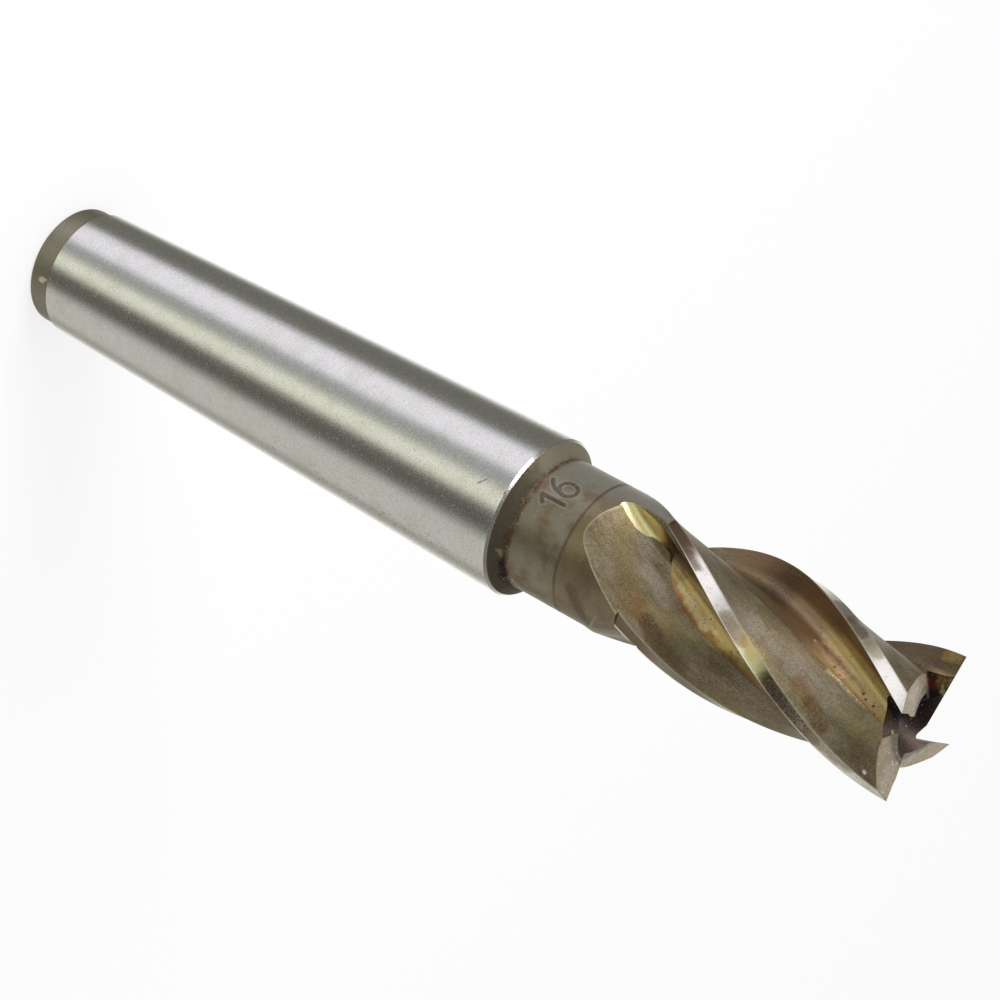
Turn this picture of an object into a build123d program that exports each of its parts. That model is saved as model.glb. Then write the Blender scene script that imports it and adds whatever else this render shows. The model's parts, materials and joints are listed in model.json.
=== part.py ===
from build123d import *
from math import atan2, ceil, cos, degrees, hypot, radians, sin, tan
import os

# A four-flute end mill with a Morse taper shank, ground from one bar of high-speed steel.
# It stands on the small end of its shank: origin at the centre of that end face, +Z up to the end teeth.
# Millimetres and degrees. Angles round the tool run anticlockwise seen from the end teeth.

# Overall sizes of a 16 mm cutter on a No. 2 shank
cutting_diameter = 16.0
overall_length = 117.0
cutting_length = 32.0
flute_count = 4
helix_angle = 30.0

# Morse taper No. 2
gauge_diameter = 17.780
taper_on_diameter = 20.020
gauge_plane_height = 64.0
shank_length = 69.0

# Plain spigot left at the small end of the taper
spigot_diameter = 14.0
spigot_length = 3.0
spigot_edge_chamfer = 0.5
spigot_step_chamfer = 0.15

# Tapped hole for the drawbar, with its centre
thread_core_diameter = 8.5
thread_length = 24.0
drill_run_out = 6.0
drawbar_centre_diameter = 11.5
centre_angle = 60.0
drill_point_angle = 118.0

# Neck between the shank and the flutes
neck_diameter = 14.9
shank_rim_chamfer = 0.25
shoulder_angle = 45.0
neck_cone_length = 5.5

# Tooth form, in the section square to the axis
rake_angle = 7.0
gullet_radius = 1.6
core_offset = 4.35
land_width = 1.6
land_relief_angle = 16.0
back_angle = 51.5
heel_radius = 6.0

# Run-out of the flutes, where the wheel lifts out of the bar
run_out_start = 0.5
run_out_length = 7.5
run_out_skew = 3.0
run_out_middle_angle = 44.0
run_out_foot_share = 0.93
deepest_travel = 0.98

# End teeth
end_relief_angle = 20.0
dish_angle = 3.7
gash_depth_at_axis = 0.4
gash_root_offset = 1.56
gash_fall_angle = 35.0
gash_wall_angle = 66.0
gash_face_angle = 16.0
gash_root_width = 0.5
gash_past_centre = 2.0
end_centre_diameter = 8.2
end_pilot_diameter = 2.5
end_pilot_depth = 8.0

# Steel left on the turned bar for grinding, and the room that each cutter keeps outside it
grinding_stock = 0.3
clearance = 1.2
face_clearance = 0.15

# How finely the flutes follow their curves
turn_per_section = 9.0
gullet_steps = 6
heel_steps = 3
run_out_steps = 6

# Worked-out places
cutting_radius = cutting_diameter / 2
stock_radius = cutting_radius + grinding_stock
twist_rate = degrees(tan(radians(helix_angle)) / cutting_radius)
tooth_pitch = 360 / flute_count
flute_start = overall_length - cutting_length
full_depth_height = flute_start - run_out_start
cutter_top = overall_length + grinding_stock + clearance


def taper_radius(height):
    """Radius of the shank's ground taper at a height above its small end."""
    return gauge_diameter / 2 + (height - gauge_plane_height) / taper_on_diameter / 2


def revolved(corners):
    """Solid of revolution from a closed outline of (radius, height) corners."""
    with BuildPart() as solid:
        with BuildSketch(Plane.XZ):
            with BuildLine():
                Polyline(*corners, close=True)
            make_face()
        revolve(axis=Axis.Z)
    return solid.part


def blank():
    """The turned bar: spigot, taper, shoulder, neck and the plain body that the flutes are cut from."""
    spigot = spigot_diameter / 2
    small_end = taper_radius(spigot_length)
    rim = taper_radius(shank_length) - shank_rim_chamfer
    neck = neck_diameter / 2
    shoulder_height = shank_length + (rim - neck) / tan(radians(shoulder_angle))
    return revolved([
        (0, 0),
        (spigot - spigot_edge_chamfer, 0),
        (spigot, spigot_edge_chamfer),
        (spigot, spigot_length),
        (small_end - spigot_step_chamfer, spigot_length),
        (small_end, spigot_length + spigot_step_chamfer),
        (taper_radius(shank_length - shank_rim_chamfer), shank_length - shank_rim_chamfer),
        (rim, shank_length),
        (neck, shoulder_height),
        (neck, flute_start - neck_cone_length),
        (cutting_radius, flute_start),
        (stock_radius, flute_start),
        (stock_radius, overall_length + grinding_stock),
        (0, overall_length + grinding_stock),
    ])


def centred_hole(mouth_diameter, bore_diameter, depth):
    """A drilled hole that runs up from z = 0, with its drill point above and its 60 degree centre at the mouth."""
    mouth = mouth_diameter / 2
    bore = bore_diameter / 2
    slope = tan(radians(centre_angle / 2))
    point = bore / tan(radians(drill_point_angle / 2))
    return revolved([
        (0, -clearance),
        (mouth + clearance * slope, -clearance),
        (bore, (mouth - bore) / slope),
        (bore, depth),
        (0, depth + point),
    ])


def arc_points(centre_x, centre_y, radius, start, end, steps):
    """Points on an arc of the section from one angle to another, both ends included."""
    angles = [radians(start + (end - start) * step / steps) for step in range(steps + 1)]
    return [(centre_x + radius * cos(angle), centre_y + radius * sin(angle)) for angle in angles]


def flute_outline():
    """Rake face, gullet, heel and back of a flute, with one tooth's edge on +X and the next tooth's on +Y."""
    slope = tan(radians(rake_angle))
    gullet_x = core_offset + gullet_radius
    gullet_y = gullet_radius / cos(radians(rake_angle)) - (cutting_radius - gullet_x) * slope
    rear_x = land_width
    rear_y = cutting_radius - land_width * tan(radians(land_relief_angle))
    fall = tan(radians(back_angle))
    heel_turn = 90 - back_angle
    knee_y = rear_y - (core_offset - rear_x) * fall
    heel_y = knee_y - heel_radius * tan(radians(heel_turn) / 2)
    heel = arc_points(core_offset - heel_radius, heel_y, heel_radius, 0, heel_turn, heel_steps)
    heel_end_x, heel_end_y = heel[-1]
    outside_x = stock_radius + grinding_stock
    return [
        (outside_x, (outside_x - cutting_radius) * slope),
        *arc_points(gullet_x, gullet_y, gullet_radius, rake_angle - 90, -180, gullet_steps),
        *heel,
        ((heel_end_x + rear_x) / 2, (heel_end_y + rear_y) / 2),
        (rear_x, rear_y),
        (rear_x - clearance / fall, rear_y + clearance),
    ]


def lifted(points, height):
    """Moves section points outwards as far as the wheel has lifted out of the bar at a height."""
    moved = []
    for x, y in points:
        radius = hypot(x, y)
        angle = atan2(y, x)
        lead = run_out_skew * (radians(run_out_middle_angle) - angle)
        travel = (full_depth_height + lead - height) / run_out_length
        kept = 1 - min(max(travel, 0.0), deepest_travel) ** 2
        outer = max(radius, stock_radius - (stock_radius - radius) * kept)
        moved.append((outer * cos(angle), outer * sin(angle)))
    return moved


def on_helix(points, height):
    """Section points in space, turned into the helix at a height."""
    turn = radians(twist_rate * (height - overall_length))
    return [Vector(x * cos(turn) - y * sin(turn), x * sin(turn) + y * cos(turn), height) for x, y in points]


def flute_section(height):
    """Closed outline of the flute's void at a height, shut outside the bar."""
    void = on_helix(lifted(flute_outline(), height), height)
    clear = stock_radius + 2 * clearance
    up = Vector(0, 0, height)
    rake_side = Vector(void[0].X, void[0].Y, 0).normalized() * clear
    back_side = Vector(void[-1].X, void[-1].Y, 0).normalized() * clear
    outside = [back_side + up, rake_side + back_side + up, rake_side + up]
    return Wire.make_polygon(void + outside, close=True)


def helix_heights(start):
    """Heights of the sections that follow the helix, one of them in the plane of the end teeth."""
    steps = ceil((overall_length - start) * twist_rate / turn_per_section)
    return [start + (overall_length - start) * step / steps for step in range(steps + 1)] + [cutter_top]


def flute_cutter():
    """Void of one flute, with its helix and its run-out."""
    foot = full_depth_height - run_out_foot_share * run_out_length
    lift_start = full_depth_height + run_out_skew * radians(run_out_middle_angle)
    heights = [foot + (lift_start - foot) * step / run_out_steps for step in range(run_out_steps)]
    sections = [flute_section(height) for height in heights + helix_heights(lift_start)]
    return Solid.make_loft(sections, ruled=True)


def land_cutter():
    """Stock ground off above one land, which gives the tooth its relief."""
    relief = tan(radians(land_relief_angle))
    behind = land_width + grinding_stock
    ahead = grinding_stock
    clear = stock_radius + clearance
    outline = [
        (cutting_radius + ahead * relief, ahead),
        (cutting_radius - behind * relief, -behind),
        (clear, -behind),
        (clear, ahead),
    ]
    sections = []
    for height in helix_heights(flute_start):
        sections.append(Wire.make_polygon(on_helix(outline, height), close=True))
    return Solid.make_loft(sections, ruled=True)


def end_relief_cutter():
    """Stock ground off behind one end edge: a wedge that falls away behind the edge and towards the centre."""
    edge_slope = tan(radians(rake_angle))
    dish = tan(radians(dish_angle))
    relief = tan(radians(end_relief_angle))
    inner = face_clearance - cutting_radius * edge_slope
    outer = cutting_radius + 2 * clearance

    def ahead_of_edge(x):
        return (x - cutting_radius) * edge_slope + grinding_stock

    def surface(x, y):
        behind = -y - (cutting_radius - x) * edge_slope
        return overall_length - (cutting_radius - x) * dish - behind * relief

    corners = [
        (inner, ahead_of_edge(inner)),
        (outer, ahead_of_edge(outer)),
        (outer, -outer),
        (inner + outer * edge_slope, -outer),
    ]
    lower = [Vector(x, y, surface(x, y)) for x, y in corners]
    upper = [Vector(x, y, cutter_top) for x, y in corners]
    return Solid.make_loft([Wire.make_polygon(lower, close=True), Wire.make_polygon(upper, close=True)], ruled=True)


def gash_cutter():
    """Gash in front of one end edge: a V with a narrow root that falls steeply from the centre into the flute."""
    face_lean = tan(radians(gash_face_angle))
    wall_lean = tan(radians(gash_wall_angle))
    fall = tan(radians(gash_fall_angle))
    reach = cutting_radius + 2 * clearance
    root_height = overall_length - gash_depth_at_axis
    root_rise = gash_root_width / (wall_lean - face_lean)
    top_rise = gash_depth_at_axis + fall * reach + clearance

    def corner(lean, rise):
        return 0, rise * lean - gash_root_offset, root_height + rise

    section = Polyline(
        corner(face_lean, top_rise),
        corner(face_lean, root_rise),
        corner(wall_lean, root_rise),
        corner(wall_lean, top_rise),
        close=True,
    )
    along = Vector(1, 0, -fall)
    start = Face(Wire(section.edges())).moved(Location(along * -gash_past_centre))
    return extrude(start, amount=(reach + gash_past_centre) * along.length, dir=along)


def end_mill():
    """The whole tool as one solid."""
    turns = [Rot(0, 0, tooth * tooth_pitch) for tooth in range(flute_count)]
    drawbar_hole = centred_hole(drawbar_centre_diameter, thread_core_diameter, thread_length + drill_run_out)
    end_centre = centred_hole(end_centre_diameter, end_pilot_diameter, end_pilot_depth)
    tool = blank() - drawbar_hole
    for cutter in (flute_cutter(), land_cutter(), end_relief_cutter(), gash_cutter()):
        tool = tool - [turn * cutter for turn in turns]
    return tool - Pos(0, 0, overall_length) * Rot(180, 0, 0) * end_centre


os.makedirs("parts", exist_ok=True)
export_step(end_mill(), "parts/end_mill.step")
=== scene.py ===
import json
import math

import bmesh
import bpy
import numpy as np
from mathutils import Matrix, Vector
from mathutils.kdtree import KDTree


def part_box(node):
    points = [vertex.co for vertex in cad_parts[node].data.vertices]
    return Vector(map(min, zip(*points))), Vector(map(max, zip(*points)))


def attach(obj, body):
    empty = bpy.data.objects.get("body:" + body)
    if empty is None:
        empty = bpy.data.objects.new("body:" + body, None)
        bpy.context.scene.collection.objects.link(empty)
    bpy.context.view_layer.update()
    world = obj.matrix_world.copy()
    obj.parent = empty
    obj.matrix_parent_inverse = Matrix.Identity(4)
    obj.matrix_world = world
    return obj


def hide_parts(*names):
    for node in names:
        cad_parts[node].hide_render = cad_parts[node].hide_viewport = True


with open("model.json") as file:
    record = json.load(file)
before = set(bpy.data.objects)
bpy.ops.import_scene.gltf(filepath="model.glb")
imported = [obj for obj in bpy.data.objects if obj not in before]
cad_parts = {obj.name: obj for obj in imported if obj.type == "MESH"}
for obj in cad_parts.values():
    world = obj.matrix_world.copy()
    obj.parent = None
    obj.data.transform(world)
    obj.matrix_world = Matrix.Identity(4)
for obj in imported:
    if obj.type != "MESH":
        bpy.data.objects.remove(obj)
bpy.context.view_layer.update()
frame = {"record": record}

# A used four-flute end mill with a Morse taper shank. It stands on the small end of the shank.
# Shapes are in millimetres in the frame's own axes, and scaled to metres once the steel is cut.
MM = 0.001

# Sizes that the frame gives
mounts = {mount["name"]: mount for mount in frame["record"]["mounts"]}
tool_length = round(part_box("end_mill")[1].z / MM, 2)
gauge_radius = mounts["morse_taper_shank"]["dims"]["r_mm"]
gauge_height = mounts["morse_taper_shank"]["pos_m"][2] / MM
thread_core = mounts["drawbar_thread"]["dims"]["r_mm"]

# Shank and neck
taper_on_diameter = 20.020
shank_end = gauge_height + 5.0
spigot_radius = 7.0
spigot_end = 3.0
spigot_edge = 0.5
spigot_step = 0.15
neck_radius = 7.45
rim_chamfer = 0.25
scribed_line = 76.7
scribed_depth = 0.05
scribed_half_width = 0.14
neck_cone_length = 5.5
centre_mouth = 5.75
drill_end = 30.0
thread_major = 5.0
thread_pitch = 1.5
thread_start = 0.4
thread_end = 24.0

# Number stamped on the neck: its top is towards the shank, and it reads clockwise seen from the end teeth
stamp_top = 71.3
stamp_height = 3.3
stamp_one = math.radians(-100.2)
stamp_six = math.radians(-114.6)
stamp_six_width = 1.7
stamp_stroke = 0.27

# Dent in the shank's rim and chips on the shoulder: place, size and finish
dents = [
    ((-0.4, -9.1, 68.85), 0.3, "dark_skin"),
    ((5.1, -6.35, 69.85), 0.22, "stamp"),
    ((7.25, -2.45, 70.3), 0.3, "stamp"),
    ((6.6, -4.1, 70.6), 0.2, "stamp"),
]

# Cutter
cutting_radius = 8.0
flute_start = tool_length - 32.0
flute_count = 4
helix_angle = 30.0
rake_angle = math.radians(7.0)
gullet_radius = 1.6
core_offset = 4.35
land_width = 1.6
land_relief = math.tan(math.radians(16.0))
back_angle = math.radians(51.5)
heel_radius = 6.0
run_out_full = flute_start - 0.5
run_out_length = 7.5
run_out_foot_share = 0.93
deepest_travel = 0.98
run_out_skew = 3.5
run_out_middle = math.radians(44.0)
rake_side_lead = 3.5
rake_side_width = math.radians(16.0)
run_out_later = {1: 3.0}
finish_depth = 0.03
finish_full = 87.2
finish_run_out = 8.2
finish_lift = 3.28
finish_lift_way = math.radians(46.0)
finish_lift_power = 2.15

# How far round from the rake edge the fresh strip in a flute reaches, in degrees at a height
strip_border = [
    (79.0, 26), (79.3, 23), (80.2, 21.4), (81.4, 18.6), (82.8, 11.9), (83.4, 8.1), (84.8, 4.2), (86.1, 3),
    (86.9, 12), (87.3, 19), (88.9, 28), (90.8, 34), (117.0, 36),
]
wide_strip_border = [
    (79.0, 26), (81.4, 19), (83.4, 8), (85.0, 8), (87.0, 50), (92.6, 54), (97.2, 48), (103.1, 40),
    (108.8, 33), (117.0, 29),
]
late_strip_border = [(79.0, 3), *strip_border[7:]]
borders = {1: late_strip_border, 3: wide_strip_border}

# End teeth
end_relief = math.tan(math.radians(20.0))
dish = math.tan(math.radians(3.7))
face_clearance = 0.15
gash_root_offset = 1.557
gash_depth = 0.4
gash_lead = 0.003
gash_fall = math.tan(math.radians(35.0))
gash_wall = math.tan(math.radians(66.2))
gash_shift = {3: 0.25}
gash_rise = {1: 0.5}
gash_face = math.tan(math.radians(16.0))
gash_root = 0.4
end_centre_radius = 4.1
end_centre_slope = math.tan(math.radians(30.0))
end_pilot_radius = 1.25
end_pilot_depth = 8.0

# Room that the cutters keep outside the bar, and the height between their sections
grinding_stock = 0.3
stock = cutting_radius + grinding_stock
body_radius = cutting_radius + 0.02
cutter_top = tool_length + 1.5
twist = math.tan(math.radians(helix_angle)) / cutting_radius
tooth_pitch = math.tau / flute_count
ring_step = 0.17

# Finishes, in the order of the steel's material slots
FINISHES = ["shank", "dark_skin", "flute", "gullet", "land", "end_flank", "gash", "bore", "stamp"]
REGION = {name: index for index, name in enumerate(FINISHES)}


def taper_radius(height):
    """Radius of the ground taper at a height."""
    return gauge_radius + (height - gauge_height) / taper_on_diameter / 2


def placed(name, data):
    """A new object in the scene."""
    holder = bpy.data.objects.new(name, data)
    bpy.context.scene.collection.objects.link(holder)
    return holder


def new_piece(name, corners, faces, regions):
    """A mesh object from corners in millimetres, with the finish of each face by its slot number."""
    mesh = bpy.data.meshes.new(name)
    mesh.from_pydata([tuple(corner) for corner in corners], [], faces)
    for finish in FINISHES:
        mesh.materials.append(bpy.data.materials.get(finish) or bpy.data.materials.new(finish))
    mesh.polygons.foreach_set("material_index", np.array(regions, np.int32))
    mesh.update()
    return placed(name, mesh)


def swept(name, rings, region, loop=False):
    """A closed solid through rings of points, capped at both ends or closed into a loop."""
    rings = np.asarray(rings, float)
    count, around = rings.shape[:2]
    corners = rings.reshape(-1, 3)
    here = np.arange(around)
    beside = (here + 1) % around
    faces = []
    for ring in range(count if loop else count - 1):
        low, high = ring * around, (ring + 1) % count * around
        faces += np.stack([low + here, low + beside, high + beside, high + here], 1).tolist()
    if not loop:
        faces.append(list(range(around - 1, -1, -1)))
        faces.append([(count - 1) * around + point for point in range(around)])
    return new_piece(name, corners, faces, [REGION[region]] * len(faces))


def turned(name, profile, around):
    """A solid of revolution from (radius, height, region) steps that start and end on the axis."""
    corners, faces, regions, rings = [], [], [], []
    angles = np.arange(around) * math.tau / around
    for radius, height, _ in profile:
        first = len(corners)
        if radius == 0:
            corners.append((0.0, 0.0, height))
            rings.append([first] * around)
        else:
            corners += [(radius * math.cos(a), radius * math.sin(a), height) for a in angles]
            rings.append(list(range(first, first + around)))
    for step in range(1, len(profile)):
        below, above = rings[step - 1], rings[step]
        for point in range(around):
            beside = (point + 1) % around
            face = [below[point], below[beside], above[beside], above[point]]
            faces.append(list(dict.fromkeys(face)))
            regions.append(REGION[profile[step][2]])
    return new_piece(name, corners, faces, regions)


def arc_points(centre, radius, start, end, steps):
    """Points on an arc from one angle to another, both ends included."""
    angles = np.linspace(start, end, steps + 1)
    return np.stack([centre[0] + radius * np.cos(angles), centre[1] + radius * np.sin(angles)], 1)


def line_points(start, end, steps):
    """Points on a line, its last one left out."""
    share = np.linspace(0, 1, steps, endpoint=False)[:, None]
    return np.array(start) * (1 - share) + np.array(end) * share


def gullet_centre():
    """Centre of the gullet's round, which touches the rake face and the core."""
    x = core_offset + gullet_radius
    return x, gullet_radius / math.cos(rake_angle) - (cutting_radius - x) * math.tan(rake_angle)


def wheel_curve(radius, outside):
    """Rake face and gullet, from outside the bar to the core, for a wheel whose round has a radius."""
    centre = gullet_centre()
    foot_x = centre[0] + radius * math.sin(rake_angle)
    foot_y = centre[1] - radius * math.cos(rake_angle)
    start = (outside, foot_y + (outside - foot_x) * math.tan(rake_angle))
    bottom = arc_points(centre, radius, rake_angle - math.pi / 2, -math.pi, 12)
    return np.concatenate([line_points(start, (foot_x, foot_y), 12), bottom])


def back_curve():
    """Floor and back of the flute, from the core to outside the bar behind the next land."""
    rear = np.array([land_width, cutting_radius - land_width * land_relief])
    fall = math.tan(back_angle)
    knee_y = rear[1] - (core_offset - rear[0]) * fall
    turn = math.pi / 2 - back_angle
    heel_centre = (core_offset - heel_radius, knee_y - heel_radius * math.tan(turn / 2))
    heel = arc_points(heel_centre, heel_radius, 0, turn, 10)
    floor = line_points((core_offset, gullet_centre()[1]), heel[0], 4)[1:]
    back = line_points(heel[-1], rear, 14)[1:]
    past_rear = rear + np.array([-1.0, fall]) / fall
    return np.concatenate([floor, heel, back, [rear, past_rear]])


def lifted(points, height, later=0.0):
    """Section points of the flute, moved out as far as the wheel has lifted at a height."""
    radius = np.hypot(points[:, 0], points[:, 1])
    angle = np.arctan2(points[:, 1], points[:, 0])
    lead = run_out_skew * (run_out_middle - angle)
    lead += rake_side_lead * np.clip(1 - angle / rake_side_width, 0, 1.1) ** 2
    travel = (run_out_full + lead + later - height) / run_out_length
    kept = 1 - np.clip(travel, 0, deepest_travel) ** 2
    raised = np.maximum(radius, stock - (stock - radius) * kept)
    return np.stack([raised * np.cos(angle), raised * np.sin(angle)], 1)


def turned_by(points, turn):
    """Points in space, turned about the tool's axis."""
    x, y, z = np.asarray(points, float).T
    return np.stack([x * math.cos(turn) - y * math.sin(turn), x * math.sin(turn) + y * math.cos(turn), z], 1)


def on_helix(points, height, tooth):
    """Section points in space: turned into the helix at a height, for one tooth."""
    points = np.column_stack([points, np.full(len(points), height)])
    return turned_by(points, twist * (height - tool_length) + tooth * tooth_pitch)


def closed_outside(points):
    """A flute section closed by an arc well outside the bar."""
    clear = stock + 2.5
    first = math.atan2(points[0, 1], points[0, 0])
    last = math.atan2(points[-1, 1], points[-1, 0])
    return np.concatenate([points, arc_points((0, 0), clear, last, first, 8)])[::-1]


def flute_cutter(tooth):
    """Void of one flute as the roughing wheel leaves it."""
    section = np.concatenate([wheel_curve(gullet_radius, stock + 0.4), back_curve()])
    later = run_out_later.get(tooth, 0.0)
    foot = run_out_full + later - run_out_foot_share * run_out_length
    heights = np.arange(foot, cutter_top, ring_step)
    rings = [on_helix(closed_outside(lifted(section, height, later)), height, tooth) for height in heights]
    return swept("flute_cutter", rings, "flute")


def finish_section(height, tooth):
    """Section of the second wheel at a height: rake face, gullet, and the floor as far as a border."""
    back = back_curve()[:-1]
    way = np.gradient(back, axis=0)
    way /= np.linalg.norm(way, axis=1)[:, None]
    back += np.stack([-way[:, 1], way[:, 0]], 1) * finish_depth
    later = run_out_later.get(tooth, 0.0)
    travel = max(0.0, (finish_full + later - height) / finish_run_out)
    lift = finish_lift * travel ** finish_lift_power
    points = np.concatenate([wheel_curve(gullet_radius + finish_depth, stock + 1.2), back])
    points += np.array([math.cos(finish_lift_way), math.sin(finish_lift_way)]) * lift
    border = borders.get(tooth, strip_border)
    limit = math.radians(np.interp(height - later, *zip(*border)))
    return stopped_at(points, limit)


def stopped_at(points, limit):
    """A section's points up to an angle from the rake edge, and then straight out of the bar."""
    angle = np.arctan2(points[:, 1], points[:, 0])
    inside = np.hypot(points[:, 0], points[:, 1]) < stock
    past = np.nonzero(inside & (angle > limit))[0]
    if len(past) == 0:
        return points
    first = past[0]
    before, after = angle[first - 1], angle[first]
    share = np.clip((limit - before) / max(after - before, 1e-6), 0, 1)
    crossing = points[first - 1] * (1 - share) + points[first] * share
    start = np.hypot(*crossing)
    reach = np.linspace(start, stock + 2.6, len(points) - first)[:, None]
    return np.concatenate([points[:first], reach * np.array([[math.cos(limit), math.sin(limit)]])])


def finish_cutter(tooth):
    """Void of the second wheel, which freshens the rake face and the gullet and runs out further down."""
    foot = finish_full + run_out_later.get(tooth, 0.0) - finish_run_out
    heights = np.arange(foot, cutter_top, ring_step)
    rings = [on_helix(finish_section(height, tooth)[::-1], height, tooth) for height in heights]
    return swept("finish_cutter", rings, "gullet")


def land_cutter(tooth):
    """Stock above one land, which leaves the land's relief."""
    ahead, behind, clear = 0.3 * land_width, 1.25 * land_width, stock + 1.2
    front = (cutting_radius + ahead * land_relief, ahead)
    rear = (cutting_radius - behind * land_relief, -behind)
    outline = np.concatenate([line_points(front, rear, 8), [rear, (clear, -behind), (clear, ahead)]])
    rings = [on_helix(outline, height, tooth) for height in np.arange(flute_start, cutter_top, 0.25)]
    return swept("land_cutter", rings, "land")


def end_relief_cutter(tooth):
    """Stock behind one end edge: it falls away behind the edge and towards the centre."""
    offset = math.tan(rake_angle)
    inner = face_clearance - cutting_radius * offset
    outer = 1.3 * cutting_radius
    ahead = [(x, (x - cutting_radius) * offset + grinding_stock) for x in (inner, outer)]
    corners = ahead + [(outer, -outer), (inner + outer * offset, -outer)]
    lower = []
    for x, y in corners:
        behind = -y - (cutting_radius - x) * offset
        lower.append((x, y, tool_length - (cutting_radius - x) * dish - behind * end_relief))
    upper = [(x, y, cutter_top) for x, y in corners]
    rings = [turned_by(ring[::-1], tooth * tooth_pitch) for ring in (lower, upper)]
    return swept("end_relief_cutter", rings, "end_flank")


def gash_cutter(tooth):
    """Gash in front of one end edge, falling steeply from the centre into the flute."""
    depth = gash_depth - gash_rise.get(tooth, 0)
    root = np.array([gash_shift.get(tooth, 0) - gash_root_offset, tool_length - depth])
    rise = cutter_top + 14.0 - root[1]
    tops = [root + np.array([lean, 1.0]) * rise for lean in (gash_face, gash_wall)]
    ways = [(top - root) / np.linalg.norm(top - root) for top in tops]
    middle_way = (ways[0] + ways[1]) / np.linalg.norm(ways[0] + ways[1])
    half = math.acos(float(ways[0] @ middle_way))
    centre = root + middle_way * gash_root / math.sin(half)
    touch = gash_root / math.tan(half)
    face_angle, wall_angle = (math.atan2(*(root - centre + way * touch)[::-1]) for way in ways)
    if wall_angle < face_angle:
        wall_angle += math.tau
    bottom = arc_points(centre, gash_root, face_angle, wall_angle, 8)
    outline = np.concatenate([tops[:1], bottom, tops[1:]])
    flat = np.column_stack([np.zeros(len(outline)), outline])
    along = np.array([1, gash_lead, -gash_fall])
    ends = (-2.0, 1.3 * cutting_radius)
    rings = [turned_by(flat + along * distance, tooth * tooth_pitch) for distance in ends]
    return swept("gash_cutter", rings, "gash")


def end_centre_cutter():
    """The 60 degree centre in the end face, with its pilot hole."""
    top = cutter_top - tool_length
    pilot_start = (end_centre_radius - end_pilot_radius) / end_centre_slope
    profile = [
        (0, -end_pilot_depth - end_pilot_radius * 0.6),
        (end_pilot_radius, -end_pilot_depth),
        (end_pilot_radius, -pilot_start),
        (end_centre_radius + top * end_centre_slope, top),
        (0, top),
    ]
    steps = [(radius, tool_length + height, "gash") for radius, height in profile]
    return turned("end_centre_cutter", steps, 96)


def bar():
    """The turned bar with the drawbar hole in it."""
    small_end = taper_radius(spigot_end)
    rim = taper_radius(shank_end)
    shoulder_top = shank_end + rim - rim_chamfer - neck_radius
    mouth_depth = (centre_mouth - thread_core) / math.tan(math.radians(30))
    neck_heights = np.arange(shoulder_top, scribed_line - 0.3, ring_step)
    rim_heights = np.arange(shank_end - 1.65, shank_end - 0.2, 0.2)
    edge_foot = spigot_radius - spigot_edge
    spigot_round = arc_points((edge_foot, spigot_edge), spigot_edge, -math.pi / 2, 0, 5)
    profile = [
        (0, drill_end + thread_core / math.tan(math.radians(59)), "bore"),
        (thread_core, drill_end, "bore"),
        (thread_core, mouth_depth, "bore"),
        (centre_mouth, 0, "bore"),
        (edge_foot, 0, "dark_skin"),
        *((x, y, "dark_skin") for x, y in spigot_round[1:]),
        (spigot_radius, spigot_end, "dark_skin"),
        (small_end - spigot_step, spigot_end, "dark_skin"),
        (small_end, spigot_end + spigot_step, "shank"),
        *((taper_radius(height), height, "shank") for height in rim_heights),
        (rim - rim_chamfer, shank_end, "shank"),
        *((rim - rim_chamfer - step, shank_end + step, "dark_skin") for step in np.arange(0.18, 1.3, 0.18)),
        *((neck_radius, height, "dark_skin") for height in neck_heights),
        (neck_radius, scribed_line - scribed_half_width, "dark_skin"),
        (neck_radius - scribed_depth, scribed_line, "dark_skin"),
        (neck_radius, scribed_line + scribed_half_width, "dark_skin"),
        (neck_radius, scribed_line + 0.3, "dark_skin"),
        (neck_radius, flute_start - neck_cone_length, "dark_skin"),
        (body_radius, flute_start, "dark_skin"),
        (body_radius, tool_length + grinding_stock, "dark_skin"),
        (0, tool_length + grinding_stock, "dark_skin"),
    ]
    return turned("end_mill_steel", profile, 256)


def stroke(name, path, loop=False):
    """A round stamping stroke in the neck, through (angle, height) points."""
    path = np.asarray(path, float)
    if loop:
        way = np.roll(path, -1, 0) - np.roll(path, 1, 0)
    else:
        way = np.gradient(path, axis=0)
    way /= np.linalg.norm(way, axis=1)[:, None]
    rings = []
    for (angle, height), (step_x, step_z) in zip(path, way):
        outward = np.array([math.cos(angle), math.sin(angle), 0.0])
        around = np.array([-math.sin(angle), math.cos(angle), 0.0])
        ahead = around * step_x * neck_radius + np.array([0.0, 0.0, step_z])
        side = np.cross(ahead / np.linalg.norm(ahead), outward)
        middle = outward * neck_radius + np.array([0.0, 0.0, height])
        turn = np.arange(10)[::-1, None] * math.tau / 10
        rings.append(middle + stamp_stroke * (np.cos(turn) * outward + np.sin(turn) * side))
    return swept(name, rings, "stamp", loop)


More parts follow.
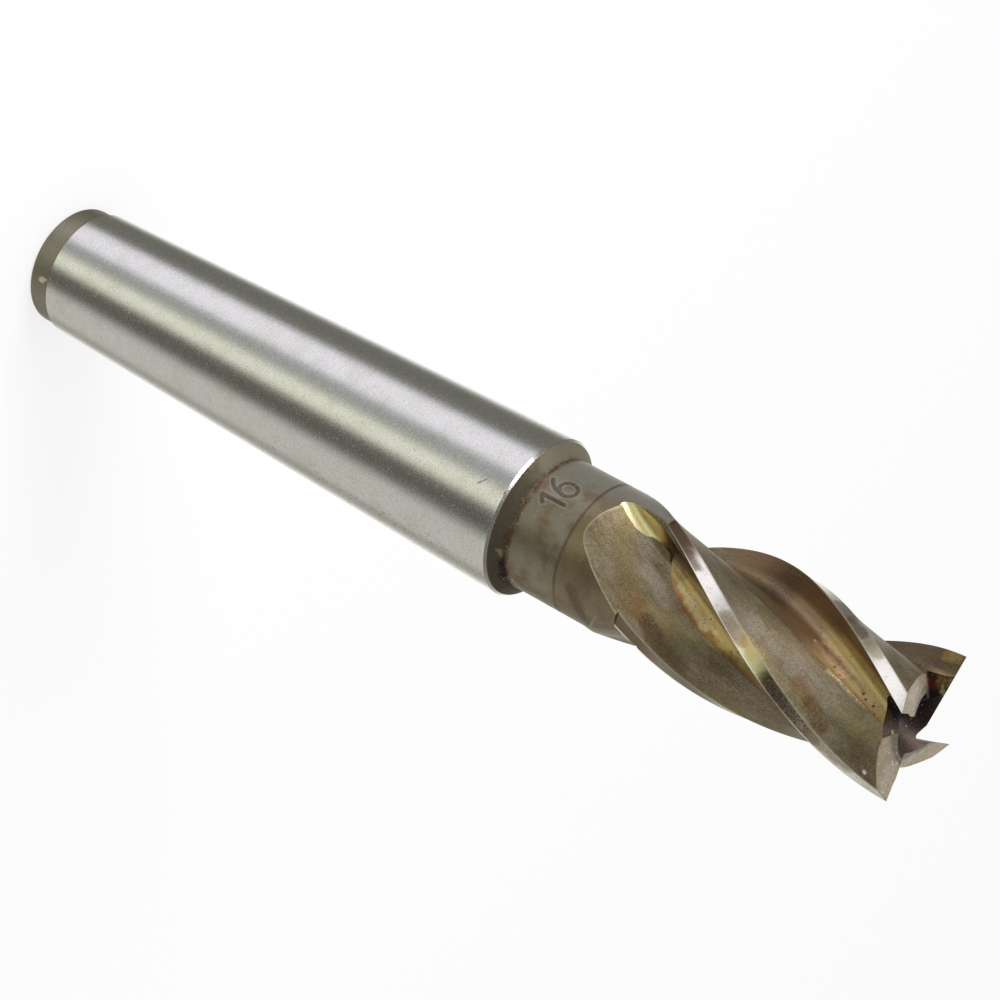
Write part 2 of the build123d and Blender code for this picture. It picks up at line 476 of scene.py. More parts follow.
def stamped_number():
    """Strokes of the stamped size number."""
    top, foot = stamp_top, stamp_top + stamp_height

    def on_neck(start, across, height):
        return start - across / neck_radius, height

    one = [on_neck(stamp_one, 0.95, height) for height in np.linspace(top, foot, 12)]
    flag = [on_neck(stamp_one, 0.95 * share, top + 0.95 - 0.85 * share) for share in np.linspace(0, 0.93, 6)]
    half_width, half_height = stamp_six_width / 2, stamp_height * 0.31
    bowl_height = foot - half_height
    bowl = []
    for angle in np.arange(32) * math.tau / 32:
        across = half_width + half_width * math.cos(angle)
        bowl.append(on_neck(stamp_six, across, bowl_height + half_height * math.sin(angle)))
    stem = []
    for share in np.linspace(0, 1, 14):
        across = (1 - share) ** 2 * 0.8 * stamp_six_width - share * (1 - share) * 0.1
        height = top + (bowl_height - top) * share ** 1.4
        stem.append(on_neck(stamp_six, across, height))
    return [stroke("one", one), stroke("flag", flag), stroke("bowl", bowl, loop=True), stroke("stem", stem)]


def thread_cutter():
    """Groove of the thread in the drawbar hole, which fades out at its end."""
    steps = 40
    last = int((thread_end - thread_start) / thread_pitch * steps)
    rings = []
    for step in range(last):
        angle = step * math.tau / steps
        height = thread_start + step * thread_pitch / steps
        depth = (thread_major - thread_core) * min(1.0, (last - step) / steps * 1.5) + 0.02
        inner, outer = thread_core - 0.15, thread_core + depth
        half = thread_pitch * 0.46
        foot = [(inner, -half), (thread_core, -half), (outer, -0.1)]
        profile = foot + [(r, -z) for r, z in foot[::-1]]
        rings.append([(r * math.cos(angle), r * math.sin(angle), height + z) for r, z in profile])
    return swept("thread_cutter", rings, "bore")


def dent_cutter(place, size, region):
    """A small rounded dent or pit, wider than it is deep."""
    ball = bmesh.new()
    bmesh.ops.create_icosphere(ball, subdivisions=2, radius=size)
    outward = Vector((place[0], place[1], 0)).normalized()
    corners = [Vector(place) + point.co - outward * point.co.dot(outward) * 0.45 for point in ball.verts]
    faces = [[corner.index for corner in face.verts] for face in ball.faces]
    ball.free()
    return new_piece("dent_cutter", corners, faces, [REGION[region]] * len(faces))


def cut(piece, cutter):
    """Takes a cutter's volume out of a piece, and removes the cutter."""
    modifier = piece.modifiers.new("cut", "BOOLEAN")
    modifier.operation = "DIFFERENCE"
    modifier.solver = "MANIFOLD"
    modifier.object = cutter
    bpy.context.view_layer.update()
    result = bpy.data.meshes.new_from_object(piece.evaluated_get(bpy.context.evaluated_depsgraph_get()))
    piece.modifiers.clear()
    piece.data = result
    bpy.data.objects.remove(cutter)


steel = bar()
for make_cutter in (flute_cutter, finish_cutter, land_cutter, end_relief_cutter, gash_cutter):
    for tooth in range(flute_count):
        cut(steel, make_cutter(tooth))
small_cutters = [end_centre_cutter(), thread_cutter(), *stamped_number()]
for cutter in small_cutters + [dent_cutter(*dent) for dent in dents]:
    cut(steel, cutter)
steel.data.transform(Matrix.Scale(MM, 4))
steel.data.shade_smooth()
steel.data.set_sharp_from_angle(angle=math.radians(24))


class Value:
    """A socket of a material's or a world's nodes, so that shader maths reads as a Python expression."""

    def __init__(self, nodes, socket):
        self.nodes = nodes
        self.socket = socket

    def math(self, operation, *others):
        return self.nodes.add("Math", {"operation": operation}, dict(enumerate([self, *others])))

    def __add__(self, other):
        return self.math("ADD", other)

    def __sub__(self, other):
        return self.math("SUBTRACT", other)

    def __rsub__(self, other):
        return self.nodes.add("Math", {"operation": "SUBTRACT"}, {0: other, 1: self})

    def __mul__(self, other):
        return self.math("MULTIPLY", other)

    __radd__ = __add__
    __rmul__ = __mul__

    def __or__(self, other):
        """The larger of two values."""
        return self.math("MAXIMUM", other)

    def step(self, low, high):
        """Smooth step from 0 at low to 1 at high, or the other way where low is the larger."""
        if low > high:
            return 1 - self.step(high, low)
        settings = {"interpolation_type": "SMOOTHSTEP"}
        inputs = {"Value": self, "From Min": low, "From Max": high}
        return self.nodes.add("MapRange", settings, inputs)

    def between(self, low, high, soft):
        """1 between two values, with soft ends."""
        return self.step(low - soft, low + soft) * self.step(high + soft, high - soft)


class Nodes:
    """The nodes of one material or world."""

    def __init__(self, tree):
        self.tree = tree

    def add(self, kind, settings=None, inputs=None, output=0):
        """Adds a node: its settings first, then the values or links of its sockets."""
        node = self.tree.nodes.new("ShaderNode" + kind)
        for name, value in (settings or {}).items():
            setattr(node, name, value)
        for name, value in (inputs or {}).items():
            if isinstance(value, Value):
                self.tree.links.new(value.socket, node.inputs[name])
            else:
                node.inputs[name].default_value = value
        return Value(self, node.outputs[output])

    def vector(self, operation, first, second, output=0):
        """Vector maths on two vectors."""
        return self.add("VectorMath", {"operation": operation}, {0: first, 1: second}, output)

    def mix(self, colour, other, share):
        """A colour that goes over to another one by a share."""
        inputs = {}
        for slot, value in ((6, colour), (7, other)):
            inputs[slot] = value if isinstance(value, Value) else (*value, 1)
        return self.add("Mix", {"data_type": "RGBA"}, {0: share, **inputs}, 2)

    def parts(self, vector):
        """The three values of a vector."""
        return [self.add("SeparateXYZ", None, {0: vector}, axis) for axis in range(3)]

    def triple(self, value):
        """A vector with the same value three times."""
        return self.add("CombineXYZ", None, {0: value, 1: value, 2: value})

    def noise(self, place, scale, detail=3.0, stretch=None, rough=0.5):
        """Noise with a scale in lumps per millimetre, stretched by a factor for each axis."""
        if stretch:
            place = self.vector("MULTIPLY", place, stretch)
        inputs = {"Vector": place, "Scale": scale, "Detail": detail, "Roughness": rough}
        return self.add("TexNoise", None, inputs)


class Surface:
    """Places on the tool's surface, in millimetres, that a finish is laid out by, and its colour so far."""

    def __init__(self, finish, colour):
        self.colour = colour
        material = bpy.data.materials[finish]
        material.use_nodes = True
        nodes = self.nodes = Nodes(material.node_tree)
        self.shader = nodes.tree.nodes["Principled BSDF"]
        metres = nodes.add("TexCoord", output="Object")
        self.place = nodes.vector("MULTIPLY", metres, (1000, 1000, 1000))
        self.x, self.y, self.z = nodes.parts(self.place)
        turn = (self.z - tool_length) * twist
        cosine, sine = turn.math("COSINE"), turn.math("SINE")
        across = self.x * cosine + self.y * sine
        up = self.y * cosine - self.x * sine
        self.section = nodes.add("CombineXYZ", None, {0: across, 1: up, 2: self.z})
        self.radius = (self.x * self.x + self.y * self.y).math("SQRT")
        quarter = up.math("ARCTAN2", across) * (flute_count / math.tau) + flute_count
        self.tooth = quarter.math("FLOOR").math("MODULO", flute_count)
        self.ahead = quarter.math("FRACT") * (360 / flute_count)
        nearest = ((quarter + 0.5).math("FRACT") - 0.5) * tooth_pitch
        self.edge_x = self.radius * nearest.math("COSINE")
        self.edge_y = self.radius * nearest.math("SINE")
        warp_inputs = {"Vector": self.place, "Scale": 1.1, "Detail": 4.0}
        warp = nodes.add("TexNoise", None, warp_inputs, "Color")
        self.ragged = nodes.vector("ADD", self.place, nodes.vector("SUBTRACT", warp, (0.5, 0.5, 0.5)))

    def noise(self, scale, detail=3.0, stretch=None, rough=0.5):
        """Noise with a scale in lumps per millimetre, laid out by the place on the tool."""
        return self.nodes.noise(self.place, scale, detail, stretch, rough)

    def border(self, name):
        """How near a place is to a border that the mesh keeps under a name."""
        return self.nodes.add("Attribute", {"attribute_name": name}, output="Fac")

    def apart(self, x, y=0.0):
        """Square of the distance from a corner of the tooth's section, where the cutting edge is at y = 0."""
        across, along = self.edge_x - x, self.edge_y - y
        return across * across + along * along

    def cover(self, over, share):
        """Lets the colour go over to another one by a share."""
        self.colour = self.nodes.mix(self.colour, over, share)

    def shade(self, brightness):
        """Makes the colour darker or brighter by a value."""
        settings = {"data_type": "RGBA", "blend_type": "MULTIPLY"}
        inputs = {0: 1.0, 6: self.colour, 7: self.nodes.triple(brightness)}
        self.colour = self.nodes.add("Mix", settings, inputs, 2)

    def mark(self, start, end, width, soft=0.5, ragged=True):
        """Share of a mark of a width from one place to another: a spot, a streak or a scratch."""
        nodes = self.nodes
        start, end = Vector(start), Vector(end)
        along = end - start
        place = self.ragged if ragged else self.place
        off = nodes.vector("SUBTRACT", place, tuple(start))
        if along.length > 0:
            share = nodes.vector("DOT_PRODUCT", off, tuple(along / along.length_squared), "Value")
            share = share.math("MAXIMUM", 0.0).math("MINIMUM", 1.0)
            off = nodes.vector("SUBTRACT", off, nodes.vector("MULTIPLY", tuple(along), nodes.triple(share)))
        distance = nodes.add("VectorMath", {"operation": "LENGTH"}, {0: off}, "Value")
        return distance.step(width * (1 + soft), width * (1 - soft))

    def spot(self, place):
        """Share of a small round spot."""
        return self.mark(place, place, 0.16, 0.4, ragged=False)

    def stain(self, stains, least=0.4):
        """Lays grainy stains over the colour: (colour, strength, start, end, width) of each."""
        grain = self.noise(4.2, 4.0, rough=0.6).step(0.34, 0.6) * (1 - least) + least
        for colour, strength, start, end, width in stains:
            self.cover(colour, self.mark(start, end, width) * strength * grain)

    def lines(self, across, along, axis_place):
        """Fine grinding marks: many lumps a millimetre across them and few along them."""
        return self.nodes.noise(axis_place, 1.0, 3.0, (across, across, along), 0.6)

    def finish(self, roughness, metallic, height, depth, strength):
        """Connects the finish to the shader. The bump's depth is in millimetres."""
        bump = {"Height": height, "Distance": depth * MM, "Strength": strength}
        sockets = {"Base Color": self.colour, "Roughness": roughness, "Metallic": metallic}
        sockets["Normal"] = self.nodes.add("Bump", None, bump)
        for name, value in sockets.items():
            if isinstance(value, Value):
                self.nodes.tree.links.new(value.socket, self.shader.inputs[name])
            else:
                self.shader.inputs[name].default_value = value


# Colours of the steel and of what has settled on it; the near black also serves as painted shade
ground_steel = (0.74, 0.735, 0.71)
warm_steel = (0.62, 0.585, 0.5)
dark_oxide = (0.262, 0.238, 0.178)
brown_oxide = (0.185, 0.128, 0.068)
olive = (0.24, 0.193, 0.098)
grey_skin = (0.33, 0.283, 0.212)
rust = (0.27, 0.125, 0.045)
dark_rust = (0.12, 0.062, 0.028)
straw = (0.88, 0.78, 0.41)
gold = (0.54, 0.39, 0.15)
temper_purple = (0.06, 0.038, 0.036)
soot_and_shade = (0.035, 0.024, 0.022)
green_cast = (0.17, 0.19, 0.135)


def shank_finish():
    """Bright ground taper: rings of grinding marks, small pits, and rusty specks near the shoulder."""
    at = Surface("shank", ground_steel)
    rings = at.lines(1.0, 11.0, at.place)
    patches = at.noise(0.35)
    specks = at.noise(6.5, 2.0)
    grain = at.noise(4.2, 5.0, (1.0, 1.0, 1.7), 0.7)
    wear_low = at.x.step(-6.0, 7.0)
    wear = at.z.step(25.0, 66.0) * 0.55 + wear_low * 0.45
    pits = specks.step(0.36, 0.27) * at.noise(1.4).step(0.38, 0.62) * (wear * 0.85 + 0.15)
    fine = at.noise(8.5, 2.0, rough=0.65)
    at.cover(warm_steel, patches.step(0.45, 0.75) * 0.35)
    at.shade(rings * 0.25 + grain * 0.6 + fine * 0.8 + 0.2)
    at.cover((0.3, 0.27, 0.22), pits * 0.75)
    rusty = at.noise(2.6).step(0.6, 0.68) * at.x.step(5.5, 8.0) * at.z.step(20.0, 45.0)
    at.cover((0.36, 0.2, 0.09), rusty * 0.7)
    scratches = at.mark((0.0, -8.9, 65.4), (-0.8, -8.9, 66.1), 0.07, ragged=False)
    scratches |= at.mark((-6.9, -5.6, 52.6), (-7.0, -5.4, 54.3), 0.06, 0.6) * 0.6
    scratches |= at.mark((3.4, -8.2, 57.5), (3.2, -8.3, 58.6), 0.06, 0.6) * 0.5
    at.cover((0.22, 0.2, 0.17), scratches * 0.8)
    # Painted highlight: the top of the taper, next to the rim's chamfer, is lighter
    rim = at.z.step(shank_end - 0.5, shank_end - 0.15)
    at.cover((0.85, 0.84, 0.82), rim * 0.6)
    roughness = rings * 0.12 + pits * 0.25 + patches * 0.05 + grain * 0.1 + 0.09
    height = rings * 0.5 + grain * 0.6 + fine * 0.5 - pits * 1.3 - scratches * 2.0
    at.finish(roughness, 1.0, height, 0.016, 0.6)


def dark_skin_finish():
    """Dark oxide of the unground spigot, shoulder and neck, with rust in the corners, and painted highlights
    on the upper side of the neck and shoulder and round the stamped number.
    """
    at = Surface("dark_skin", dark_oxide)
    turning = at.lines(0.8, 7.0, at.place)
    patches = at.noise(0.55, 4.0)
    grain = at.noise(5.0, 4.0)
    at.cover(brown_oxide, patches.step(0.42, 0.66) * 0.75)
    at.cover((0.25, 0.185, 0.105), at.z.step(scribed_line - 0.3, scribed_line + 0.6) * 0.6)
    at.cover((0.3, 0.285, 0.215), at.z.step(4.0, 3.5) * 0.8)
    # Painted sheen: the neck is lighter along its upper side (x below -4.2 mm), in place of the grazing
    # reflection there
    upper_side_sheen = at.x.step(-4.2, -6.8) * at.z.between(shank_end + 1.8, flute_start, 0.5)
    at.cover((0.56, 0.54, 0.48), upper_side_sheen * 0.75)
    scribed = at.z.between(scribed_line - 0.12, scribed_line + 0.2, 0.16)
    at.cover((0.12, 0.078, 0.045), scribed * 0.7)
    fine = at.noise(8.5, 2.0, rough=0.6)
    at.shade(grain * 0.4 + turning * 0.25 + fine * 0.5 + 0.42)
    corner = at.z.between(shank_end + 1.15, shank_end + 1.75, 0.22)
    at.cover((0.13, 0.066, 0.035), corner * at.noise(1.0).step(0.38, 0.56) * 0.85)
    shoulder = at.z.between(shank_end, shank_end + 1.3, 0.1)
    # The shoulder is darker round most of it, and lighter towards its upper side (x below -3.5 mm) as a
    # painted highlight
    at.cover((0.1, 0.083, 0.058), shoulder * at.x.step(-5.0, -2.0) * 0.9)
    at.cover((0.28, 0.245, 0.185), shoulder * at.x.step(-3.5, -6.5) * 0.8)
    at.stain([
        ((0.17, 0.09, 0.05), 0.8, (-4.0, -6.3, 70.4), (-0.8, -7.4, 70.4), 0.22),
        ((0.15, 0.08, 0.045), 0.8, (-0.8, -7.4, 70.5), (2.9, -6.9, 70.5), 0.3),
        (dark_rust, 0.95, (3.2, -6.8, 70.2), (5.9, -4.7, 70.3), 0.38),
        (soot_and_shade, 0.95, (5.9, -4.8, 70.1), (6.9, -3.0, 70.1), 0.42),
        (gold, 0.5, (4.9, -6.2, 69.9), (5.6, -5.6, 70.2), 0.2),
        (soot_and_shade, 0.85, (7.1, -3.5, 69.8), (7.3, -2.2, 70.2), 0.35),
        (dark_rust, 0.4, (-7.0, -3.2, 70.3), (-7.2, -2.2, 70.5), 0.3),
        ((0.13, 0.082, 0.066), 0.9, (5.0, -5.4, 79.0), (6.7, -3.2, 80.8), 0.8),
        (brown_oxide, 0.7, (1.5, -7.3, 80.5), (4.5, -6.0, 80.0), 1.4),
        (olive, 0.6, (-1.0, -7.4, 78.6), (3.0, -6.8, 78.0), 1.2),
        (grey_skin, 0.45, (3.6, -6.5, 73.2), (6.4, -3.8, 75.5), 1.5),
        (rust, 0.35, (-6.6, -4.1, 83.5), (-6.3, -4.6, 84.5), 0.5),
    ])
    glints = at.noise(4.4, 2.0).step(0.69, 0.74)
    glints |= corner * at.y.step(-4.0, -6.0) * at.noise(3.0).step(0.6, 0.68)
    at.cover((0.6, 0.55, 0.48), glints * 0.5)
    tick = at.mark((-6.0, -5.35, 84.25), (-6.35, -4.95, 84.75), 0.09, ragged=False)
    at.cover((0.6, 0.55, 0.42), tick)
    # Painted highlight: a lighter ring round the stamped number, where the unmodelled stamping burr would
    # catch the light
    burr_highlight = at.border("stamp_rim")
    at.cover((0.5, 0.46, 0.37), burr_highlight * 0.55)
    chip = at.mark((3.3, -6.2, 1.7), (3.2, -6.25, 2.4), 0.28)
    chip |= at.mark((6.9, -2.8, 70.9), (6.9, -2.8, 70.9), 0.14)
    at.cover((0.9, 0.78, 0.55), chip * 0.9)
    spigot_root = at.z.between(spigot_end - 0.25, spigot_end + 0.1, 0.08) * at.noise(0.9).step(0.4, 0.6)
    at.cover((0.42, 0.34, 0.12), spigot_root * 0.8)
    roughness = grain * 0.2 + patches * 0.1 + shoulder * 0.3 + 0.3
    at.finish(roughness, 0.86, grain * 0.8 + turning * 0.5 - glints * 0.4, 0.02, 0.55)


def flute_finish():
    """Back and floor of the flutes: grey-olive oxide with brown stains, and a painted highlight line along
    their rim.
    """
    at = Surface("flute", grey_skin)
    nodes = at.nodes
    wheel = at.lines(6.0, 0.35, at.section)
    patches = nodes.noise(at.section, 0.42, 4.0, (1.0, 1.0, 0.55))
    grain = at.noise(4.5, 5.0, rough=0.62)
    at.cover(olive, patches.step(0.32, 0.56) * 0.8)
    at.cover(brown_oxide, nodes.noise(at.ragged, 1.0, 5.0, rough=0.6).step(0.48, 0.66) * 0.5)
    at.cover((0.12, 0.08, 0.04), at.ahead.between(24.0, 40.0, 7.0) * 0.35)
    streaks = nodes.noise(at.section, 0.9, 4.0, (1.6, 1.6, 0.25), 0.6)
    at.cover((0.15, 0.105, 0.055), streaks.step(0.5, 0.72) * 0.5)
    at.cover((0.34, 0.31, 0.235), streaks.step(0.46, 0.3) * 0.45)
    at.stain([
        ((0.26, 0.175, 0.08), 0.75, (0.4, -6.8, 83.2), (3.0, -5.9, 86.2), 1.3),
        ((0.21, 0.168, 0.076), 0.85, (-2.6, -6.4, 80.8), (0.2, -6.4, 84.5), 1.3),
        (rust, 0.7, (2.8, -6.1, 86.4), (4.0, -5.5, 87.6), 0.6),
        ((0.36, 0.27, 0.14), 0.7, (2.9, -5.6, 87.7), (3.7, -5.0, 90.6), 0.7),
        (dark_rust, 0.8, (3.9, -5.5, 87.8), (4.8, -4.9, 89.4), 0.8),
        (olive, 0.5, (3.6, -5.0, 91.0), (4.6, -3.9, 94.0), 0.9),
        (brown_oxide, 0.9, (5.2, -4.9, 89.0), (6.4, -3.8, 93.0), 0.9),
        ((0.155, 0.105, 0.068), 0.8, (5.5, -3.0, 96.0), (6.4, -1.0, 103.0), 1.8),
        ((0.33, 0.285, 0.225), 0.75, (-0.6, -5.2, 85.0), (1.4, -5.3, 88.8), 0.7),
        ((0.235, 0.188, 0.088), 0.8, (-4.6, -5.6, 80.4), (-1.6, -6.8, 83.0), 0.8),
        (olive, 0.6, (-2.6, -7.0, 80.8), (-0.2, -7.0, 83.5), 0.9),
        (green_cast, 0.7, (-3.4, -4.6, 84.6), (-2.4, -4.7, 86.8), 0.35),
        ((0.32, 0.27, 0.2), 0.8, (-4.5, -5.9, 90.0), (-0.4, -7.0, 97.0), 1.2),
        (grey_skin, 0.85, (-0.5, -6.3, 101.0), (2.6, -5.6, 109.5), 0.9),
        (olive, 0.7, (-2.6, -5.3, 98.5), (-0.6, -5.9, 103.0), 0.9),
        (gold, 0.5, (0.6, -7.6, 99.0), (1.6, -7.3, 101.5), 0.4),
        (rust, 0.6, (2.2, -6.4, 105.6), (3.0, -6.1, 107.4), 0.7),
        (dark_rust, 0.75, (3.4, -6.0, 107.6), (4.5, -5.3, 109.4), 0.8),
        (green_cast, 0.65, (3.2, -5.6, 109.6), (3.9, -5.2, 111.2), 0.5),
        (olive, 0.8, (3.0, -5.2, 111.0), (5.2, -4.0, 114.0), 1.0),
        (brown_oxide, 0.85, (5.2, -4.0, 113.6), (6.2, -3.2, 115.8), 0.9),
        (dark_rust, 0.7, (-5.3, -2.6, 88.5), (-4.6, -3.0, 94.5), 0.7),
        (straw, 0.6, (-0.4, -5.2, 107.5), (0.8, -5.0, 112.5), 0.4),
        (rust, 0.5, (-0.6, -5.3, 105.6), (0.2, -5.1, 108.2), 0.35),
    ], 0.25)
    rusty = at.noise(2.4, 4.0, rough=0.65).step(0.57, 0.66) * nodes.noise(at.ragged, 0.45).step(0.44, 0.58)
    at.cover((0.2, 0.095, 0.04), rusty * 0.5)
    fine = at.noise(9.0, 2.0, rough=0.6)
    at.shade(grain * 0.8 + fine * 1.3 + wheel * 0.4 - 0.2)
    pits = at.noise(5.5, 2.0).step(0.345, 0.29) * at.noise(0.8, 2.0).step(0.4, 0.6)
    at.cover(soot_and_shade, pits * 0.7)
    pale = at.noise(3.7, 2.0).step(0.7, 0.745)
    at.cover((0.45, 0.4, 0.3), pale * 0.5)
    white = at.mark((6.5, -3.2, 114.7), (6.6, -3.1, 114.8), 0.16, 0.4, ragged=False)
    at.cover((0.95, 0.93, 0.88), white)
    # Painted highlight: a light line along the rim of the flutes
    rim = at.border("rim")
    at.cover((0.5, 0.44, 0.31), rim * (at.noise(1.6).step(0.3, 0.5) * 0.4 + 0.4))
    roughness = grain * 0.22 + patches * 0.1 + 0.27
    at.finish(roughness, 0.84, grain * 0.9 + wheel * 0.4 - pits, 0.03, 0.6)


def gullet_finish():
    """Freshly ground strip of rake face and gullet: golden, with marks along it and rust at its border."""
    at = Surface("gullet", (0.27, 0.2, 0.11))
    nodes = at.nodes
    marks = at.lines(9.0, 0.3, at.section)
    grain = at.noise(4.5, 4.0)
    patches = nodes.noise(at.section, 0.7, 4.0, (1.0, 1.0, 0.4))
    gullet = at.radius.step(6.0, 4.9)
    at.cover(gold, gullet * 0.85)
    at.cover((0.55, 0.46, 0.22), patches.step(0.45, 0.65) * 0.4)
    at.cover((0.2, 0.145, 0.088), at.radius.step(5.4, 7.0) * 0.8)
    second = at.tooth.between(2.9, 3.1, 0.05) | at.tooth.between(1.9, 2.1, 0.05) * at.ahead.step(60.0, 70.0)
    at.cover((0.31, 0.21, 0.128), second * at.z.step(107.5, 101.5) * 0.85)
    border = at.border("strip_border")
    at.cover((0.27, 0.11, 0.035), border * gullet * at.z.step(86.5, 89.5) * 0.85)
    at.stain([
        ((0.5, 0.42, 0.19), 0.8, (-4.2, -4.0, 83.6), (-3.4, -4.0, 85.4), 0.6),
        (olive, 0.8, (-3.6, -3.8, 85.0), (-1.6, -4.2, 88.6), 0.45),
        (dark_rust, 0.8, (-4.6, -5.3, 85.0), (-3.2, -6.0, 88.4), 0.9),
        (straw, 0.55, (-0.6, -4.4, 88.8), (1.6, -4.2, 94.5), 0.35),
        (rust, 0.8, (0.6, -4.9, 89.6), (2.6, -4.4, 95.0), 0.35),
        (dark_rust, 0.6, (2.9, -3.9, 96.2), (3.3, -3.8, 97.6), 0.5),
        ((0.14, 0.1, 0.07), 0.8, (-6.2, -1.6, 88.0), (-5.2, -1.6, 97.0), 2.0),
        ((0.33, 0.2, 0.1), 0.8, (-4.1, -2.9, 95.0), (-3.7, -3.2, 99.0), 0.45),
        ((0.42, 0.24, 0.14), 0.85, (-3.3, -3.4, 100.5), (-2.4, -3.7, 104.5), 0.6),
        ((0.3, 0.2, 0.125), 0.8, (-4.6, -2.2, 99.5), (-3.4, -3.2, 103.5), 0.7),
        ((0.78, 0.52, 0.31), 0.85, (-2.4, -4.1, 104.8), (-0.8, -4.5, 108.6), 0.6),
        ((0.7, 0.56, 0.31), 0.8, (0.1, -4.6, 90.4), (1.7, -4.6, 93.4), 0.45),
        ((0.52, 0.41, 0.2), 0.65, (-0.4, -4.5, 109.8), (0.6, -4.4, 113.6), 0.6),
        (olive, 0.7, (-3.0, -4.2, 104.0), (-0.4, -4.9, 111.6), 0.35),
        ((0.15, 0.112, 0.078), 0.95, (-5.2, 3.2, 109.0), (-6.9, 2.0, 113.4), 2.3),
        (gold, 0.75, (-7.3, 1.3, 114.6), (-7.7, 0.6, 116.2), 0.55),
        (rust, 0.5, (-6.9, 1.9, 113.9), (-7.5, 1.3, 114.8), 0.35),
    ])
    start = at.mark((-5.3, -5.0, 79.2), (-4.3, -4.1, 82.8), 1.7, ragged=False)
    at.cover(straw, start * 0.95)
    at.shade(marks * 0.8 + grain * 0.3 + 0.45)
    pits = at.noise(3.4, 2.0).step(0.33, 0.28) * (1 - start)
    for place in ((0.0, -4.7, 111.4), (0.6, -4.7, 112.9), (-0.2, -4.6, 109.6),
                  (0.4, -4.7, 111.9), (-0.9, -4.7, 107.5)):
        pits |= at.spot(place)
    at.cover(soot_and_shade, pits * 0.8)
    at.cover((0.9, 0.86, 0.76), at.spot((-2.3, -4.1, 104.1)))
    # Painted highlight: a bright line along the cutting edge, only on the stretches that the y ranges below
    # pick out
    edge = at.apart(cutting_radius)
    bright = at.y.step(-1.5, -4.5) | at.y.step(5.5, 7.0)
    at.cover((0.95, 0.92, 0.8), edge.step(0.06, 0.015) * bright * 0.9)
    roughness = marks * 0.18 + grain * 0.1 + 0.24
    at.finish(roughness, 0.92, marks * 0.9 + grain * 0.4 - pits, 0.02, 0.55)


def land_finish():
    """Ground lands: bright with marks across them, brown near the shank and stained further on."""
    at = Surface("land", (0.97, 0.935, 0.86))
    marks = at.noise(1.0, 3.0, (5.0, 5.0, 9.0), 0.6)
    grain = at.noise(4.0, 4.0)
    at.cover((0.72, 0.65, 0.54), at.noise(0.8, 4.0).step(0.5, 0.7) * 0.5)
    at.cover((0.28, 0.165, 0.11), at.z.step(90.8, 88.0) * 0.95)
    dull = at.x.step(3.0, 5.0) * at.y.step(-6.3, -5.0) * at.z.step(105.0, 101.0)
    at.cover((0.2, 0.155, 0.095), dull * 0.85)
    at.stain([
        ((0.22, 0.15, 0.11), 0.85, (-3.6, -7.0, 89.0), (-3.0, -7.3, 90.4), 0.7),
        ((0.42, 0.3, 0.2), 0.85, (0.2, -7.9, 96.4), (0.9, -7.8, 98.6), 0.9),
        ((0.5, 0.33, 0.1), 0.85, (1.0, -7.8, 99.2), (1.8, -7.6, 100.4), 0.6),
        ((0.62, 0.55, 0.26), 0.9, (2.0, -7.6, 100.6), (3.0, -7.2, 102.4), 0.9),
        ((0.15, 0.1, 0.055), 0.98, (3.4, -7.0, 103.2), (6.0, -5.2, 109.0), 1.1),
        ((0.3, 0.25, 0.17), 0.85, (6.2, -5.0, 109.6), (7.0, -3.8, 113.0), 1.0),
        ((0.42, 0.38, 0.33), 0.8, (-6.6, -4.2, 104.6), (-5.9, -5.2, 106.6), 0.7),
        ((0.28, 0.19, 0.13), 0.8, (-5.7, -5.5, 106.9), (-5.0, -6.1, 109.0), 0.7),
        ((0.52, 0.42, 0.24), 0.8, (-4.5, -6.4, 110.2), (-3.9, -6.8, 111.6), 0.6),
    ], 0.8)
    at.shade(marks * 0.5 + grain * 0.2 + 0.66)
    specks = at.noise(5.0, 2.0).step(0.34, 0.28) * at.noise(0.9, 2.0).step(0.42, 0.58)
    at.cover((0.2, 0.12, 0.06), specks * 0.5)
    # Painted highlight: a bright line along the cutting edge
    edge = at.apart(cutting_radius)
    at.cover((1.0, 0.97, 0.88), edge.step(0.04, 0.01) * 0.8)
    behind = at.apart(cutting_radius - land_width * land_relief, -land_width)
    at.cover((0.62, 0.56, 0.46), behind.step(0.04, 0.008) * 0.6)
    roughness = marks * 0.2 + grain * 0.08 + 0.17
    at.finish(roughness, 0.96, marks * 0.9 - specks, 0.02, 0.5)


def end_flank_finish():
    """Relief faces of the end teeth: light grey, ground across, with a darker rim towards the centre."""
    at = Surface("end_flank", (0.35, 0.285, 0.2))
    marks = at.noise(1.0, 3.0, (7.0, 2.0, 7.0), 0.6)
    grain = at.noise(4.2, 4.0)
    at.cover((0.3, 0.25, 0.18), at.noise(0.8).step(0.4, 0.6))
    centre = at.radius.step(4.6, 4.1)
    at.cover((0.1, 0.1, 0.08), centre * 0.8)
    at.stain([
        ((0.5, 0.34, 0.3), 0.7, (3.0, 3.3, 115.8), (3.6, 3.8, 115.9), 0.5),
        ((0.4, 0.36, 0.3), 0.8, (-2.4, -6.2, 116.3), (-2.9, -5.0, 116.0), 0.8),
        ((0.32, 0.22, 0.18), 0.7, (3.9, -2.2, 116.0), (4.3, -2.4, 116.0), 0.4),
        ((0.42, 0.38, 0.34), 0.7, (5.2, -1.8, 116.3), (6.8, -1.0, 116.6), 0.8),
    ])
    at.shade(marks * 0.6 + grain * 0.5 + 0.45)
    pale = at.noise(3.6, 2.0).step(0.66, 0.7)
    at.cover((0.82, 0.78, 0.7), pale * 0.6)
    specks = at.noise(4.6, 2.0).step(0.4, 0.34)
    at.cover((0.22, 0.1, 0.07), specks * 0.65)
    at.finish(marks * 0.2 + grain * 0.15 + 0.28, 0.8, marks + grain * 0.6, 0.03, 0.6)


